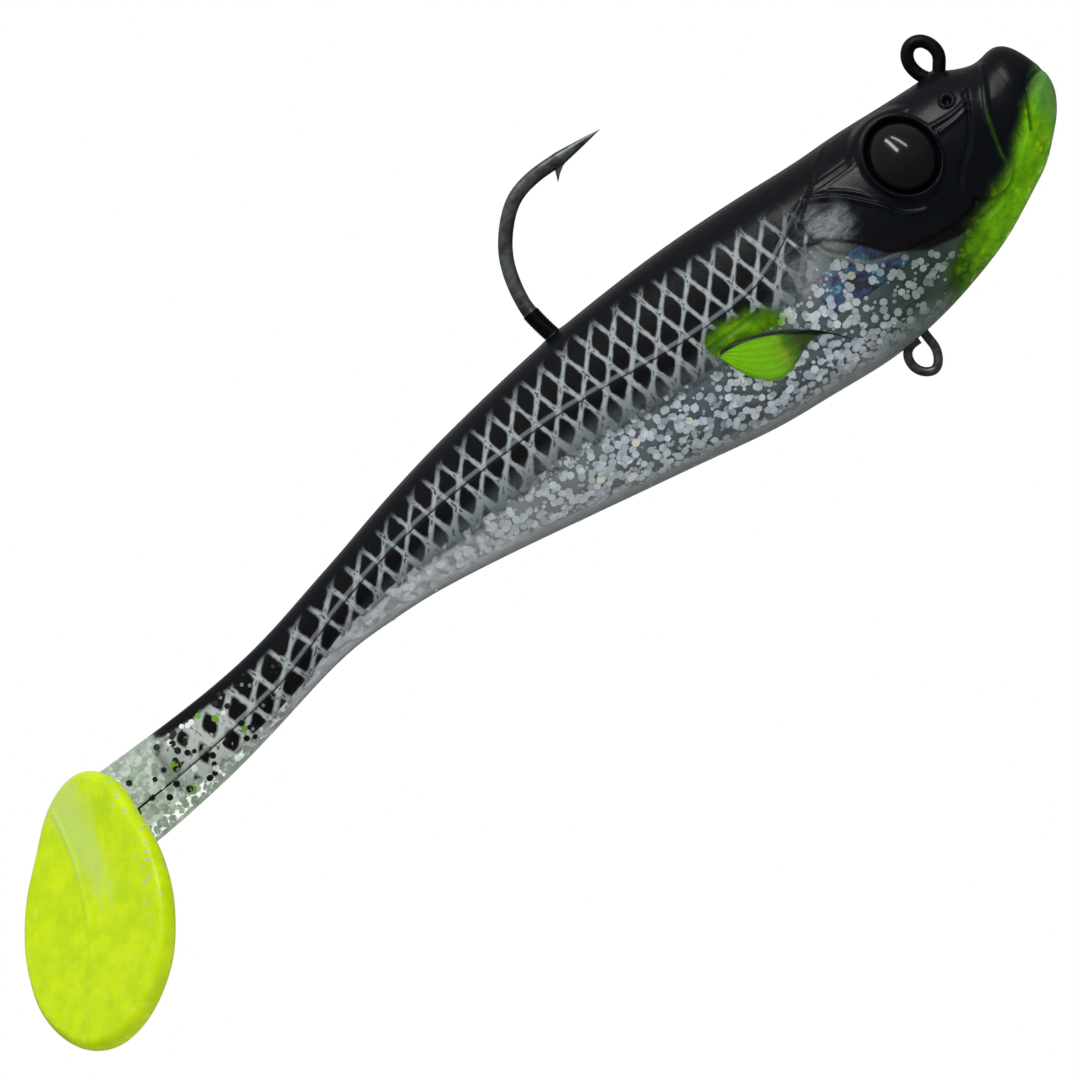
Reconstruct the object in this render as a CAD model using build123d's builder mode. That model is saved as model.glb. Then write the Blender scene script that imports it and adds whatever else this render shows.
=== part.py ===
"""Soft paddle-tail swimbait, 152 mm long, rigged with an internal weight, one up-turned hook and a belly ring.

Frame: nose +X, back +Z, right flank -Y. The origin is the centre of the line-tie eye on top of the head.
All lengths are in millimetres.
"""

from build123d import *
from math import cos, radians, sin, tan
import os

os.makedirs("parts", exist_ok=True)

# body form: x, height of the back, height of the belly, half width
BODY_STATIONS = [
    (10.0, -8.9, -10.6, 0.6),
    (9.7, -7.6, -11.7, 1.5),
    (8.9, -5.6, -13.1, 2.5),
    (7.0, -4.1, -15.1, 3.8),
    (3.5, -3.2, -17.9, 5.1),
    (-2.5, -1.8, -20.9, 6.1),
    (-9.0, -1.4, -23.2, 6.8),
    (-18.0, -0.9, -24.8, 7.5),
    (-31.5, -0.2, -24.3, 7.4),
    (-45.0, -0.3, -22.3, 7.0),
    (-58.0, -1.4, -19.7, 6.2),
    (-71.0, -3.4, -17.4, 5.1),
    (-80.0, -5.3, -16.1, 4.2),
    (-89.0, -7.4, -15.9, 3.4),
    (-98.0, -9.3, -17.3, 2.7),
    (-107.0, -10.2, -19.0, 2.2),
    (-116.0, -10.4, -20.2, 2.0),
    (-127.0, -10.3, -20.8, 2.0),
]
SPAN_Z = 60.0  # height of the cutting tools, more than the body's depth
SPAN_Y = 14.0  # half width of the cutting tools, more than the body's half width

# flex stations: x of the vertical axis, and the largest sway each way
REAR_FLEX_X = -64.0
REAR_SWAY = 16.0
STEM_FLEX_X = -94.0
STEM_SWAY = 26.0
KICK_X = -122.5
FLEX_GAP = 0.3
FLEX_RELIEF = 1.0  # extra degrees that each face falls back beyond half the sway

# hook: one formed wire with its eye on the head and its point above the back
WIRE_R = 0.85
SHANK_Z = -6.5
EYE_WIRE_R = 0.75
EYE_R = 1.75
POINT_Z = 14.75
TAPER_X = -37.4
TIP_X = -33.7
TIP_R = 0.1
SHANK_END_X = -51.0
BEND_REAR = (-52.3, 6.0)
BEND_TOP = (-47.6, POINT_Z)
HOOK_CORNER_RADII = [2.6, 5.5, 13.5, 7.8]
BARB_TIP = (-40.8, 12.8)
BARB_ROOT_X = -39.4
BARB_NOSE_X = -37.8
BARB_THICKNESS = 0.8

# cast weight inside the trunk: x, top, bottom, half width
WEIGHT_STATIONS = [
    (2.0, -13.0, -15.6, 1.2),
    (-3.0, -10.8, -18.0, 3.0),
    (-13.0, -9.6, -21.0, 4.0),
    (-26.0, -10.4, -20.6, 3.6),
    (-38.0, -13.0, -19.0, 2.2),
    (-43.0, -15.2, -17.6, 1.0),
]
WEB_THICKNESS = 2.6
WEB_X = (-24.0, -7.0)
WEB_Z = (-14.0, -4.6)

# belly ring: wire eye below the weight
RING_X = -19.4
RING_Z = -26.9
RING_WIRE_R = 0.52
RING_R = 1.53
RING_STEM_R = 0.9
RING_STEM_TOP = -18.0

# eyes: a glossy dome set in a raised round socket
EYE_X = -8.7
EYE_Z = -7.9
EYE_BACK_Y = 4.7
EYE_TILT = 14.0  # degrees, the dome looks a little upwards
EYE_YAW = 9.0  # degrees, and a little forwards
DOME_RX = 3.55
DOME_RZ = 4.05
DOME_SIDE = 1.2
DOME_CROWN = 1.6
DOME_STEPS = (0, 20, 40, 58, 74, 84)  # degrees up the crown at each section
SOCKET_RX = 4.7
SOCKET_RZ = 5.4
SOCKET_HEIGHT = 1.3

# pectoral fins: raised plates, outline in plate coordinates measured from the root
FIN_ROOT = (-25.2, 4.75, -20.2)
FIN_FACE_TILT = 15.0  # degrees that the plate faces down, following the lower flank
FIN_THICKNESS = 1.4
FIN_UPPER_EDGE = [(0.0, 0.0), (-4.8, 4.7), (-9.0, 7.0), (-12.4, 7.4)]
FIN_LOWER_EDGE = [(-12.7, 6.8), (-10.6, 2.2), (-7.4, 0.9), (0.0, 0.0)]

# foil inserts: thin plates beside the weight
FOIL_X = (-25.0, -14.0)
FOIL_Z = (-17.6, -12.6)
FOIL_Y = 5.9
FOIL_THICKNESS = 0.3
FOIL_CORNER = 1.5

# tail paddle: rest attitude, outline in its own plane and neck
KICK_REST = 62.0  # degrees that the tail end stands kicked towards -Y
PADDLE_SLANT = 35.0
PADDLE_TWIST = 11.0
NECK_LENGTH = 7.6
NECK_START = 2.3
NECK_Z = -15.6
NECK_START_SIZE = (2.0, 5.1)
NECK_END_SIZE = (2.6, 5.6)
PADDLE_THICKNESS = 2.6
PADDLE_RIM = 1.0
PADDLE_TOP = -7.5
PADDLE_BOTTOM = 26.3
PADDLE_OFFSET = 0.6
PADDLE_SIDE = [(5.3, -4.6), (7.9, 0.4), (10.0, 5.0), (11.0, 10.5), (10.7, 15.0), (9.4, 19.6), (5.4, 24.4)]


def ellipse_sections(stations):
    """One upright ellipse for each station, ready to loft."""
    sections = []
    for x, top, bottom, half_width in stations:
        with BuildSketch(Plane.YZ.offset(x)) as section:
            with Locations((0, (top + bottom) / 2)):
                Ellipse(half_width, (top - bottom) / 2)
        sections.append(section.sketch)
    return sections


def flex_slot(x, sway):
    """A bow-tie gap across the body, open enough for the sway either way about the axis at x."""
    spread = SPAN_Y * tan(radians(sway / 2 + FLEX_RELIEF))
    near = FLEX_GAP / 2
    with BuildSketch(Plane.XY.offset(-SPAN_Z / 2)) as slot:
        with BuildLine():
            Polyline(
                (x + near, 0),
                (x + near + spread, SPAN_Y),
                (x - near - spread, SPAN_Y),
                (x - near, 0),
                (x - near - spread, -SPAN_Y),
                (x + near + spread, -SPAN_Y),
                close=True,
            )
        make_face()
    extrude(slot.sketch, amount=SPAN_Z, mode=Mode.SUBTRACT)


def keep_between(x_low, x_high):
    """Keep only the length of the part between two upright planes."""
    with BuildSketch(Plane.XY.offset(-SPAN_Z / 2)) as length:
        with Locations(((x_low + x_high) / 2, 0)):
            Rectangle(x_high - x_low, 2 * SPAN_Y)
    extrude(length.sketch, amount=SPAN_Z, mode=Mode.INTERSECT)


def eye_plane(side):
    """Plane on the back of an eye, facing out of the flank on that side (-1 right, +1 left)."""
    tilt = radians(EYE_TILT)
    yaw = radians(EYE_YAW)
    outwards = (cos(tilt) * sin(yaw), side * cos(tilt) * cos(yaw), sin(tilt))
    return Plane(origin=(EYE_X, side * EYE_BACK_Y, EYE_Z), x_dir=(1, 0, 0), z_dir=outwards)


def fin_plane(side):
    """Plane on the inner face of a pectoral fin, its y up the flank."""
    tilt = radians(FIN_FACE_TILT)
    x, y, z = FIN_ROOT
    outwards = (0, side * cos(tilt), -sin(tilt))
    return Plane(origin=(x, side * y, z), x_dir=(-side, 0, 0), z_dir=outwards)


def fin_solid(side):
    """A pectoral fin plate with a pointed rear tip."""
    with BuildSketch(fin_plane(side)) as outline:
        with BuildLine():
            upper = [(-side * x, y) for x, y in FIN_UPPER_EDGE]
            lower = [(-side * x, y) for x, y in FIN_LOWER_EDGE]
            Spline(*upper)
            Line(upper[-1], lower[0])
            Spline(*lower)
        make_face()
    extrude(outline.sketch, amount=FIN_THICKNESS)


# ---------------------------------------------------------------- body form, before it is divided
with BuildPart() as body_form:
    loft(ellipse_sections(BODY_STATIONS))

# ---------------------------------------------------------------- hook
with BuildPart() as hook:
    with BuildLine(Plane.XZ) as shank_path:
        FilletPolyline(
            (0, -EYE_R),
            (0, SHANK_Z),
            (SHANK_END_X, SHANK_Z),
            BEND_REAR,
            BEND_TOP,
            (TAPER_X, POINT_Z),
            radius=HOOK_CORNER_RADII,
        )
    with BuildSketch(Plane.XY.offset(-EYE_R)):
        Circle(WIRE_R)
    sweep(path=shank_path.line)
    with BuildSketch(Plane.YZ.offset(TAPER_X)):
        with Locations((0, POINT_Z)):
            Circle(WIRE_R)
    with BuildSketch(Plane.YZ.offset(TIP_X)):
        with Locations((0, POINT_Z)):
            Circle(TIP_R)
    loft()
    Torus(EYE_R, EYE_WIRE_R, rotation=(90, 0, 0))
    with BuildSketch(Plane.XZ.offset(-BARB_THICKNESS / 2)):
        with BuildLine():
            Polyline(BARB_TIP, (BARB_ROOT_X, POINT_Z), (BARB_NOSE_X, POINT_Z), close=True)
        make_face()
    extrude(amount=BARB_THICKNESS)
hook.part.label = "hook"

# ---------------------------------------------------------------- belly ring
with BuildPart() as belly_ring:
    with Locations((RING_X, 0, RING_Z)):
        Torus(RING_R, RING_WIRE_R, rotation=(90, 0, 0))
    with BuildSketch(Plane.XY.offset(RING_Z + RING_R)):
        with Locations((RING_X, 0)):
            Circle(RING_STEM_R)
    extrude(amount=RING_STEM_TOP - RING_Z - RING_R)
belly_ring.part.label = "belly_ring"

# ---------------------------------------------------------------- cast weight, on the shank and the ring's stem
with BuildPart() as lead_weight:
    loft(ellipse_sections(WEIGHT_STATIONS))
    with BuildSketch(Plane.XY.offset(WEB_Z[0])):
        with Locations((sum(WEB_X) / 2, 0)):
            SlotOverall(WEB_X[1] - WEB_X[0], WEB_THICKNESS)
    extrude(amount=WEB_Z[1] - WEB_Z[0])
    add(hook.part, mode=Mode.SUBTRACT)
    add(belly_ring.part, mode=Mode.SUBTRACT)
lead_weight.part.label = "lead_weight"

# ---------------------------------------------------------------- eyes
eyes = {}
for eye_name, side in (("eye_right", -1), ("eye_left", 1)):
    with BuildPart() as eye:
        with BuildSketch(eye_plane(side)):
            Ellipse(DOME_RX, DOME_RZ)
        extrude(amount=DOME_SIDE)
        for step in DOME_STEPS:
            shrink = cos(radians(step))
            with BuildSketch(eye_plane(side).offset(DOME_SIDE + DOME_CROWN * sin(radians(step)))):
                Ellipse(DOME_RX * shrink, DOME_RZ * shrink)
        loft()
    eye.part.label = eye_name
    eyes[eye_name] = eye

# ---------------------------------------------------------------- pectoral fins
fins = {}
for fin_name, side in (("pectoral_fin_right", -1), ("pectoral_fin_left", 1)):
    with BuildPart() as fin:
        fin_solid(side)
    fin.part.label = fin_name
    fins[fin_name] = fin

# ---------------------------------------------------------------- foil inserts
foils = {}
for foil_name, side in (("foil_right", -1), ("foil_left", 1)):
    with BuildPart() as foil:
        with BuildSketch(Plane.XZ.offset(-side * FOIL_Y)):
            with Locations((sum(FOIL_X) / 2, sum(FOIL_Z) / 2)):
                RectangleRounded(FOIL_X[1] - FOIL_X[0], FOIL_Z[1] - FOIL_Z[0], FOIL_CORNER)
        extrude(amount=-side * FOIL_THICKNESS)
    foil.part.label = foil_name
    foils[foil_name] = foil

# ---------------------------------------------------------------- trunk: head and front body, moulded round its inserts
with BuildPart() as trunk_body:
    add(body_form.part)
    for side in (-1, 1):
        with BuildSketch(eye_plane(side)):
            Ellipse(SOCKET_RX, SOCKET_RZ)
        extrude(amount=SOCKET_HEIGHT)
    flex_slot(REAR_FLEX_X, REAR_SWAY)
    keep_between(REAR_FLEX_X, BODY_STATIONS[0][0] + 1)
    for insert in (lead_weight, hook, belly_ring, *eyes.values(), *fins.values(), *foils.values()):
        add(insert.part, mode=Mode.SUBTRACT)
trunk_body.part.label = "trunk_body"

# ---------------------------------------------------------------- rear body, between the first two flex stations
with BuildPart() as rear_body:
    add(body_form.part)
    flex_slot(REAR_FLEX_X, REAR_SWAY)
    flex_slot(STEM_FLEX_X, STEM_SWAY)
    keep_between(STEM_FLEX_X, REAR_FLEX_X)
rear_body.part.label = "rear_body"

# ---------------------------------------------------------------- tail stem, rounded about the kick axis
with BuildPart() as tail_stem:
    add(body_form.part)
    flex_slot(STEM_FLEX_X, STEM_SWAY)
    stem_half = BODY_STATIONS[-1][3]
    with BuildSketch(Plane.XY.offset(-SPAN_Z / 2)):
        with Locations(((KICK_X + STEM_FLEX_X) / 2, 0)):
            Rectangle(STEM_FLEX_X - KICK_X, 2 * SPAN_Y)
        with Locations((KICK_X, 0)):
            Circle(stem_half)
    extrude(amount=SPAN_Z, mode=Mode.INTERSECT)
tail_stem.part.label = "tail_stem"

# ---------------------------------------------------------------- tail paddle, at its kicked rest attitude
kick = radians(KICK_REST)
along_neck = Vector(-cos(kick), -sin(kick), 0)
across_neck = Vector(sin(kick), -cos(kick), 0)
kick_axis = Vector(KICK_X, 0, NECK_Z)
slant = radians(PADDLE_SLANT)
twist = radians(PADDLE_TWIST)
paddle_out = along_neck * cos(slant) + Vector(0, 0, sin(slant))
paddle_down = along_neck * sin(slant) - Vector(0, 0, cos(slant))
paddle_across = across_neck * cos(twist) + paddle_down * sin(twist)
attach = kick_axis + along_neck * NECK_LENGTH
paddle_plane = Plane(origin=attach, x_dir=paddle_across, z_dir=paddle_out)

with BuildPart() as tail_paddle:
    with BuildSketch(paddle_plane):
        with BuildLine():
            near_side = [(PADDLE_OFFSET + x, -y) for x, y in PADDLE_SIDE]
            far_side = [(PADDLE_OFFSET - x, -y) for x, y in reversed(PADDLE_SIDE)]
            top_point = (PADDLE_OFFSET, -PADDLE_TOP)
            bottom_point = (PADDLE_OFFSET, -PADDLE_BOTTOM)
            Spline(top_point, *near_side, bottom_point, *far_side, periodic=True)
        make_face()
    extrude(amount=PADDLE_THICKNESS)
    rims = tail_paddle.edges().group_by(SortBy.LENGTH)[-1]
    fillet(rims, PADDLE_RIM)
    neck_plane = Plane(origin=kick_axis, x_dir=across_neck, z_dir=along_neck)
    with BuildSketch(neck_plane.offset(NECK_START)):
        Ellipse(*NECK_START_SIZE)
    with BuildSketch(paddle_plane.offset(PADDLE_THICKNESS / 2)):
        Ellipse(*NECK_END_SIZE)
    loft()
tail_paddle.part.label = "tail_paddle"

# ---------------------------------------------------------------- write every sub-part
pieces = [trunk_body, rear_body, tail_stem, tail_paddle, lead_weight, hook, belly_ring]
pieces += [*eyes.values(), *fins.values(), *foils.values()]
for piece in pieces:
    export_step(piece.part, f"parts/{piece.part.label}.step")
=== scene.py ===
"""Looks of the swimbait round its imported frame. Work is in millimetres, meshes are stored in metres.

The soft body is one surface made of rings from the nose to the wrist of the tail, in three pieces that meet edge to
edge where the body doesn't flex. Its relief is in the mesh; its paint is worked out from a few smooth masks.
"""
from math import cos, pi, radians, sin, tan

import bpy
import numpy as np
from mathutils import Matrix, Vector


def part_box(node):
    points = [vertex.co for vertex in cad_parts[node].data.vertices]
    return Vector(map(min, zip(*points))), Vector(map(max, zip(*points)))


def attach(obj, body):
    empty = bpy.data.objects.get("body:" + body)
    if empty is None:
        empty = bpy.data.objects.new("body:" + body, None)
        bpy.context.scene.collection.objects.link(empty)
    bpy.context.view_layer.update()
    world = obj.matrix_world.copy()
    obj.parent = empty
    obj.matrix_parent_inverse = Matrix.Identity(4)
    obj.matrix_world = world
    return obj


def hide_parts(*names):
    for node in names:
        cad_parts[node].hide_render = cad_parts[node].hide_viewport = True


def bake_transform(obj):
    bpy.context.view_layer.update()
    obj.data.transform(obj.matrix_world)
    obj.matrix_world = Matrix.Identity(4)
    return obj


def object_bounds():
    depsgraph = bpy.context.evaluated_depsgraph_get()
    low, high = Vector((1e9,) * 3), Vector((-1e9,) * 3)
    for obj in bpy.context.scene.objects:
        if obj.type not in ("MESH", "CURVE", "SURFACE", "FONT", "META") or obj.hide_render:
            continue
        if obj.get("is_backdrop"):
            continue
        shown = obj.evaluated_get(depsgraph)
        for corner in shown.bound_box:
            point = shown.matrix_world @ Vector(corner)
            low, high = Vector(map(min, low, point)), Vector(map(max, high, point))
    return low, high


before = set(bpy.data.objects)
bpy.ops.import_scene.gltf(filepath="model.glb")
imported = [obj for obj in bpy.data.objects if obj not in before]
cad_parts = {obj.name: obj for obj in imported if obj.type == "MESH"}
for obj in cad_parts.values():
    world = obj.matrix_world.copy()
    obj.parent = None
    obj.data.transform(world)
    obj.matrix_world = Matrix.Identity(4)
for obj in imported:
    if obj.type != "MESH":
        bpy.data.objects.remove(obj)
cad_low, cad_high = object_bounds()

MM = 0.001
rng = np.random.default_rng(41)

# ---- body form
NOSE_X = 10.1
# x, height of the back, height of the belly
PROFILE = [
    (9.8, -7.9, -11.4), (9.2, -6.1, -12.6), (8.5, -4.75, -13.6), (6.3, -3.6, -15.8), (4.1, -3.8, -17.6),
    (1.9, -3.0, -18.8), (-0.3, -2.2, -19.9), (-4.8, -1.7, -21.9), (-9.2, -1.4, -23.2), (-13.7, -1.1, -24.2),
    (-18.1, -1.0, -24.8), (-22.6, -0.7, -25.0), (-27.0, -0.4, -24.7), (-31.4, -0.2, -24.3), (-35.9, -0.1, -23.9),
    (-44.8, -0.3, -22.3), (-53.7, -0.9, -20.6), (-62.6, -2.0, -18.9), (-71.4, -3.4, -17.3), (-75.9, -4.3, -16.6),
    (-80.3, -5.3, -16.1), (-84.8, -6.4, -15.9), (-89.2, -7.4, -15.9), (-98.1, -9.3, -17.3), (-107.0, -10.2, -19.0),
    (-115.9, -10.4, -20.1), (-122.0, -10.4, -20.6), (-132.0, -10.3, -20.9),
]
# x, half width
WIDTH = [
    (9.8, 1.7), (8.6, 3.1), (6.3, 4.4), (4.1, 5.1), (1.9, 5.5), (-0.3, 5.8), (-4.8, 6.3), (-9.2, 6.8), (-18.0, 7.4),
    (-31.5, 7.4), (-45.0, 7.0), (-58.0, 6.2), (-71.0, 5.1), (-80.0, 4.2), (-89.0, 3.4), (-98.0, 2.75),
    (-107.0, 2.3), (-116.0, 2.1), (-132.0, 2.1),
]
LATERAL = [
    (-17.0, -4.9), (-19.9, -5.4), (-23.5, -6.8), (-27.2, -8.7), (-34.3, -10.0), (-42.2, -9.7), (-50.1, -8.8),
    (-58.0, -8.2), (-65.9, -8.3), (-73.8, -8.7), (-81.7, -9.8), (-89.6, -11.7), (-97.4, -14.0), (-105.3, -15.2),
    (-113.2, -15.9), (-132.0, -16.3),
]


def natural_spline(t, y):
    """A natural cubic spline through the points (t, y)."""
    t, y = np.array(t, float), np.array(y, float)
    n, h = len(t), np.diff(t)
    a, b = np.eye(n), np.zeros(n)
    for i in range(1, n - 1):
        a[i, i - 1 : i + 2] = h[i - 1], 2 * (h[i - 1] + h[i]), h[i]
        b[i] = 6 * ((y[i + 1] - y[i]) / h[i] - (y[i] - y[i - 1]) / h[i - 1])
    m = np.linalg.solve(a, b)

    def at(q):
        i = np.clip(np.searchsorted(t, q) - 1, 0, n - 2)
        p, r, w = t[i + 1] - q, q - t[i], h[i]
        bow = (m[i] * p**3 + m[i + 1] * r**3) / (6 * w)
        return bow + (y[i] / w - m[i] * w / 6) * p + (y[i + 1] / w - m[i + 1] * w / 6) * r

    return at


def along(x):
    """The spline parameter of a station: even steps of it crowd together at the nose."""
    return np.sqrt(np.maximum(NOSE_X - x, 0))


NOSE_Z = -9.7
profile_u = [0.0] + [along(p[0]) for p in PROFILE]
back_of = natural_spline(profile_u, [NOSE_Z] + [p[1] for p in PROFILE])
belly_of = natural_spline(profile_u, [NOSE_Z] + [p[2] for p in PROFILE])
half_of = natural_spline([0.0] + [along(p[0]) for p in WIDTH], [0.0] + [p[1] for p in WIDTH])
lateral_of = natural_spline([-p[0] for p in LATERAL], [p[1] for p in LATERAL])


def back(x):
    return back_of(along(x))


def belly(x):
    return belly_of(along(x))


def half_width(x):
    return half_of(along(x))


def lateral(x):
    return lateral_of(-np.clip(x, -132, -17))


def girth(x):
    """Middle height, half height and half width of the body at a station."""
    return (back(x) + belly(x)) / 2, (back(x) - belly(x)) / 2, half_width(x)


def girth_z(x, angle):
    """Height of the skin at a station, at an angle round the girth from the back."""
    middle, tall, _ = girth(x)
    return middle + tall * np.cos(angle)


def smooth(low, high, v):
    """0 at low, 1 at high, smooth between; low may be the larger."""
    t = np.clip((v - low) / (high - low), 0, 1)
    return t * t * (3 - 2 * t)


# ---- bent tail
KICK = radians(62)
KICK_X = -122.5
BEND_R = 7.0
BEND_X = KICK_X + BEND_R * tan(KICK / 2)
WRIST = 6.0  # distance of the wrist ring behind the kick axis, along the kicked tail
WRIST_X = BEND_X - BEND_R * KICK - (WRIST - BEND_R * tan(KICK / 2))
WRIST_Z = -15.6
WRIST_LEAN = 0.53
HEADING = np.array([-cos(KICK), -sin(KICK), 0.0])
ACROSS = np.array([sin(KICK), -cos(KICK), 0.0])


def lean(x, z):
    """How far behind its own station a point lies, because the rings lean over towards the wrist."""
    return WRIST_LEAN * smooth(BEND_X + 3, WRIST_X, x) * (WRIST_Z - z)


def bend(x, y, z):
    """Straight-body coordinates to the kicked rest pose."""
    s = np.maximum(BEND_X - x, 0)
    a = np.minimum(s / BEND_R, KICK)
    rest = np.maximum(s - BEND_R * KICK, 0)
    px = np.where(s > 0, BEND_X - BEND_R * np.sin(a), x) - rest * cos(KICK) - np.sin(a) * y
    py = -BEND_R * (1 - np.cos(a)) - rest * sin(KICK) + np.cos(a) * y
    return np.stack([px, py, z + 0 * px], -1)


# ---- meshes
def make_piece(name, points, faces, material, fields=None, normals=None, slot=None):
    """A smooth mesh from points in millimetres, with named point fields for its material."""
    mesh = bpy.data.meshes.new(name)
    mesh.from_pydata((np.asarray(points) * MM).tolist(), [], [list(f) for f in faces])
    mesh.update()
    for key, values in (fields or {}).items():
        values = np.asarray(values, np.float32)
        if values.ndim == 1:
            mesh.attributes.new(key, "FLOAT", "POINT").data.foreach_set("value", values)
        else:
            mesh.attributes.new(key, "FLOAT_VECTOR", "POINT").data.foreach_set("vector", values.ravel())
    mesh.shade_smooth()
    if normals is not None:
        mesh.normals_split_custom_set_from_vertices(np.asarray(normals).tolist())
    mesh.materials.append(material)
    piece = bpy.data.objects.new(name, mesh)
    bpy.context.scene.collection.objects.link(piece)
    return piece


def grid_faces(rows, columns, closed=True, first=0):
    """Quads of a grid of points, row by row, closed round each row."""
    i = np.arange(rows - 1)[:, None] * columns + first
    k = np.arange(columns if closed else columns - 1)[None, :]
    n = (k + 1) % columns
    return np.stack([i + k, i + n, i + columns + n, i + columns + k], -1).reshape(-1, 4).tolist()


def join_sides(faces, offset):
    """Faces that join the border of a sheet to the border of its copy, offset points further on."""
    edges = [(f[k], f[(k + 1) % len(f)]) for f in faces for k in range(len(f))]
    used = set(edges)
    return [(v, u, u + offset, v + offset) for u, v in edges if (v, u) not in used]


def closed_sheet(front, back_, rows, columns, turned):
    """Points and faces of a thin sheet made of two grids of points; turned flips its faces."""
    quads = np.array(grid_faces(rows, columns, closed=False))[:, :: -1 if turned else 1]
    faces_ = quads.tolist() + (quads[:, ::-1] + rows * columns).tolist()
    return np.concatenate([front, back_]), faces_ + join_sides(quads.tolist(), rows * columns)


def grid_normals(p):
    """Outward unit normals of a closed grid of rings."""
    round_ = np.roll(p, -1, 1) - np.roll(p, 1, 1)
    n = np.cross(round_, np.gradient(p, axis=0))
    return n / np.maximum(np.linalg.norm(n, axis=2, keepdims=True), 1e-12)


# ---- skin grid
ROUND = 288
nose_u = np.arange(0.035, 1.62, 0.05)
HEAD_STEP, REAR_STEP = 0.215, 0.42
head_x = np.arange(NOSE_X - nose_u[-1] ** 2 - 0.17, -30.0, -HEAD_STEP)
rear_x = np.arange(head_x[-1] - REAR_STEP, WRIST_X, -REAR_STEP)
SPLIT_1, SPLIT_2 = -79.0, -108.0
stations = np.concatenate([NOSE_X - nose_u**2, head_x, rear_x])
for cut in (SPLIT_1, SPLIT_2):
    stations[np.argmin(abs(stations - cut))] = cut
stations[-1] = WRIST_X
turn = np.arange(ROUND) * 2 * pi / ROUND

ring_x = stations[:, None]
Z = girth_z(ring_x, turn)
X = ring_x - lean(ring_x, Z)
Y = np.maximum(half_width(ring_x), 0.02) * np.sin(turn)
flat = np.stack([X, Y, Z], -1)
skin = bend(X, Y, Z)
skin_normals = grid_normals(skin)

# ---- relief lines
NAPE = [(-14.9, -1.5), (-17.0, -2.7), (-18.3, -4.1), (-19.9, -5.3)]
POST_EYE = [[(-19.0, -4.6), (-12.8, -4.6)], [(-19.0, -5.25), (-12.8, -5.2)]]
CHEEK = [(-19.9, -5.4), (-17.7, -6.5), (-16.0, -7.9), (-14.4, -9.7), (-13.4, -11.1), (-11.9, -12.9), (-9.8, -13.9)]
CREASE = [(-17.4, -5.9), (-15.2, -7.6), (-13.9, -9.6), (-13.0, -11.6)]
GILL = [
    (-19.9, -5.4), (-21.6, -6.7), (-21.9, -8.2), (-21.6, -10.5), (-20.5, -12.3), (-19.3, -13.8), (-17.7, -15.0),
    (-14.9, -15.8), (-11.9, -16.4), (-8.8, -16.7), (-5.7, -16.5), (-5.0, -15.9),
]
JAW = [
    (1.5, -6.0), (-0.4, -9.5), (-2.4, -11.5), (-4.2, -13.0), (-5.2, -14.3), (-5.4, -14.9), (-4.7, -16.0),
    (-3.5, -16.7), (-2.2, -17.1), (-0.6, -16.8), (0.5, -15.9),
]
STRIPE = [(4.7, -4.6), (2.9, -7.4), (1.7, -9.7), (1.0, -12.0), (0.5, -14.1), (0.6, -15.6)]
MOUTH = [(10.1, -8.9), (9.3, -8.6), (7.5, -9.2), (6.8, -10.2), (5.7, -12.3), (5.0, -13.6)]
BARS = [[(-4.1, -6.7), (-1.5, -6.95), (0.9, -6.7)], [(-3.6, -7.75), (-1.4, -7.7), (0.4, -7.4)]]
THROAT = [[(-9.3, -18.9), (-6.3, -18.4), (-3.5, -17.4)], [(-10.9, -21.5), (-7.5, -20.3), (-5.0, -18.9), (-1.0, -17.9)]]
NOSTRIL = (-0.8, -5.4)


def trace(line, x, z, reach=4.0):
    """Distance from each point to a smooth line, and the side it is on (positive to the right of its run)."""
    k = np.arange(len(line))
    if len(line) > 2:
        fine = np.linspace(0, len(line) - 1, 8 * (len(line) - 1) + 1)
        lx = natural_spline(k, [p[0] for p in line])(fine)
        lz = natural_spline(k, [p[1] for p in line])(fine)
    else:
        lx, lz = np.array(line).T
    distance = np.full(x.shape, 99.0)
    signed = np.full(x.shape, 99.0)
    near = (x > lx.min() - reach) & (x < lx.max() + reach) & (z > lz.min() - reach) & (z < lz.max() + reach)
    px, pz = x[near][:, None], z[near][:, None]
    ax, az, dx, dz = lx[:-1], lz[:-1], np.diff(lx), np.diff(lz)
    t = np.clip(((px - ax) * dx + (pz - az) * dz) / (dx * dx + dz * dz), 0, 1)
    d = np.hypot(px - ax - t * dx, pz - az - t * dz)
    best = d.argmin(1)
    row = np.arange(len(best))
    distance[near] = d[row, best]
    turn_ = dx * (pz - az) - dz * (px - ax)
    signed[near] = d[row, best] * np.sign(turn_[row, best])
    return distance, signed


def ridge(d, height, width):
    return height * np.exp(-((d / width) ** 2))


relief = np.zeros(X.shape)
# painted shade: this mask darkens the grooves, the nostril, the mouth line and the gap round each eye
shade = np.zeros(X.shape)  # dark in the grooves
flank = smooth(0.1, 0.4, abs(skin_normals[..., 1]))
relief += ridge(trace(NAPE, X, Z)[0], 0.07, 0.2)
for line in POST_EYE:
    d, _ = trace(line, X, Z)
    relief += ridge(d, 0.07, 0.16) - ridge(d - 0.32, 0.04, 0.14)
d, s = trace(CHEEK, X, Z)
relief += ridge(d, 0.26, 0.24) - ridge(s - 0.42, 0.14, 0.22)
relief += ridge(trace(CREASE, X, Z)[0], 0.16, 0.2)
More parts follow.
